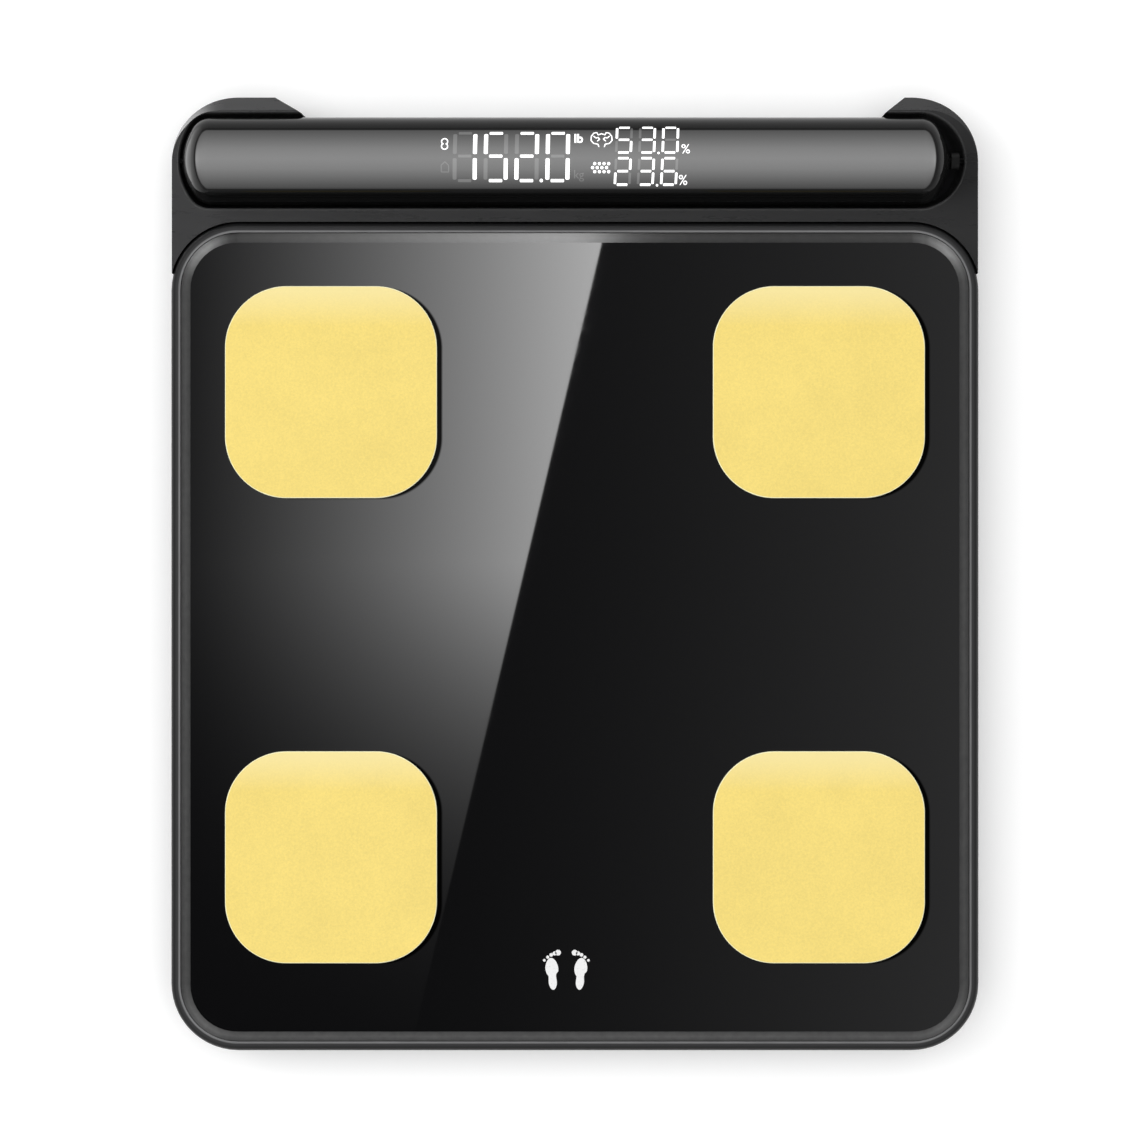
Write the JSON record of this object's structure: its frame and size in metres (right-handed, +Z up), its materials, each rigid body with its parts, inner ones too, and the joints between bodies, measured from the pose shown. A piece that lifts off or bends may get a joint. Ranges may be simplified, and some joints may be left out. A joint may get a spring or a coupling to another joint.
{
  "type": "bathroom scale",
  "caption": "Electronic bathroom scale with a bevelled black glass platform, yellow contact pads and a cylindrical display barrel cradled between two rear horns.",
  "frame": {"origin": "on the floor, under the centre of the scale's outline", "axes": "+Z up, +Y towards the display barrel, +X to the right of someone standing on it"},
  "size_m": [0.264, 0.312, 0.0345],
  "materials": {
    "base_plastic": "fine-grained dark grey moulding",
    "cover_plastic": "satin dark grey moulding",
    "rim_plastic": "satin dark grey rim",
    "foam_tape": "black foam tape",
    "platform_glass": "tempered glass with a black back print",
    "electrode_metal": "matte yellow-gold coating",
    "stud_metal": "turned",
    "yellow_lead": "insulated lead",
    "cell_steel": "stamped steel",
    "bracket_plastic": "off-white moulding",
    "gauge_film": "sealed gauge",
    "red_lead": "insulated lead",
    "screw_steel": "zinc plated",
    "cup_plastic": "dark moulding",
    "pad_rubber": "soft sole",
    "battery_wrap": "printed sleeve over steel",
    "door_plastic": "fine-grained dark grey moulding",
    "spring_steel": "nickel plated",
    "circuit_board": "green solder mask",
    "component_black": "moulded packages",
    "plunger_plastic": "moulded",
    "button_plastic": "mid-grey moulding",
    "barrel_tube": "smoked gloss tube",
    "barrel_cap": "polished",
    "pivot_steel": "ground pin",
    "collar_plastic": "moulded",
    "chassis_plastic": "moulded",
    "backlight_white": "light guide",
    "lcd_glass": "display panel",
    "grey_lead": "ribbon-sheathed lead"
  },
  "bodies": {
    "scale_body": {"base_housing": "base_plastic", "rear_cover": "cover_plastic", "platform_frame": "rim_plastic", "glass_adhesive": "foam_tape", "glass_platform": "platform_glass", "electrode_front_left": "electrode_metal", "electrode_front_right": "electrode_metal", "electrode_rear_left": "electrode_metal", "electrode_rear_right": "electrode_metal", "electrode_studs": "stud_metal", "electrode_leads": "yellow_lead", "load_cell_front_left": "cell_steel", "load_cell_front_right": "cell_steel", "load_cell_rear_left": "cell_steel", "load_cell_rear_right": "cell_steel", "load_cell_bracket_front_left": "bracket_plastic", "load_cell_bracket_front_right": "bracket_plastic", "load_cell_bracket_rear_left": "bracket_plastic", "load_cell_bracket_rear_right": "bracket_plastic", "strain_gauges": "gauge_film", "load_cell_leads": "red_lead", "bracket_screws": "screw_steel", "board_screws": "screw_steel", "housing_screws": "screw_steel", "foot_cup_front_left": "cup_plastic", "foot_cup_front_right": "cup_plastic", "foot_cup_rear_left": "cup_plastic", "foot_cup_rear_right": "cup_plastic", "foot_pad_front_left": "pad_rubber", "foot_pad_front_right": "pad_rubber", "foot_pad_rear_left": "pad_rubber", "foot_pad_rear_right": "pad_rubber", "battery_1": "battery_wrap", "battery_2": "battery_wrap", "battery_3": "battery_wrap", "battery_4": "battery_wrap", "battery_springs": "spring_steel", "battery_contacts": "spring_steel", "main_board": "circuit_board", "board_components": "component_black", "switch_body": "component_black", "pivot_left": "pivot_steel", "pivot_right": "pivot_steel", "pivot_collar": "collar_plastic", "display_lead": "grey_lead"},
    "barrel": {"display_barrel": "barrel_tube", "barrel_cap_left": "barrel_cap", "barrel_cap_right": "barrel_cap", "display_chassis": "chassis_plastic", "display_board": "circuit_board", "backlight_panel": "backlight_white", "lcd_panel": "lcd_glass", "display_lead_inner": "grey_lead"},
    "door": {"battery_door": "door_plastic"},
    "unit_key": {"unit_button": "button_plastic", "switch_plunger": "plunger_plastic"}
  },
  "joints": [
    {"name": "barrel_tilt", "type": "hinge", "parent": "scale_body", "child": "barrel", "pos_m": [0, 0.1349, 0.0203], "axis": [1, 0, 0], "range_deg": [-20, 30]},
    {"name": "door_hinge", "type": "hinge", "parent": "scale_body", "child": "door", "pos_m": [0, 0.0343, 0.0034], "axis": [-1, 0, 0], "range_deg": [0, 80]},
    {"name": "unit_key_press", "type": "slide", "parent": "scale_body", "child": "unit_key", "axis": [0, 0, 1], "range_m": [0, 0.0005], "stiffness_N_per_m": 500, "springref_m": -0.001}
  ]
}
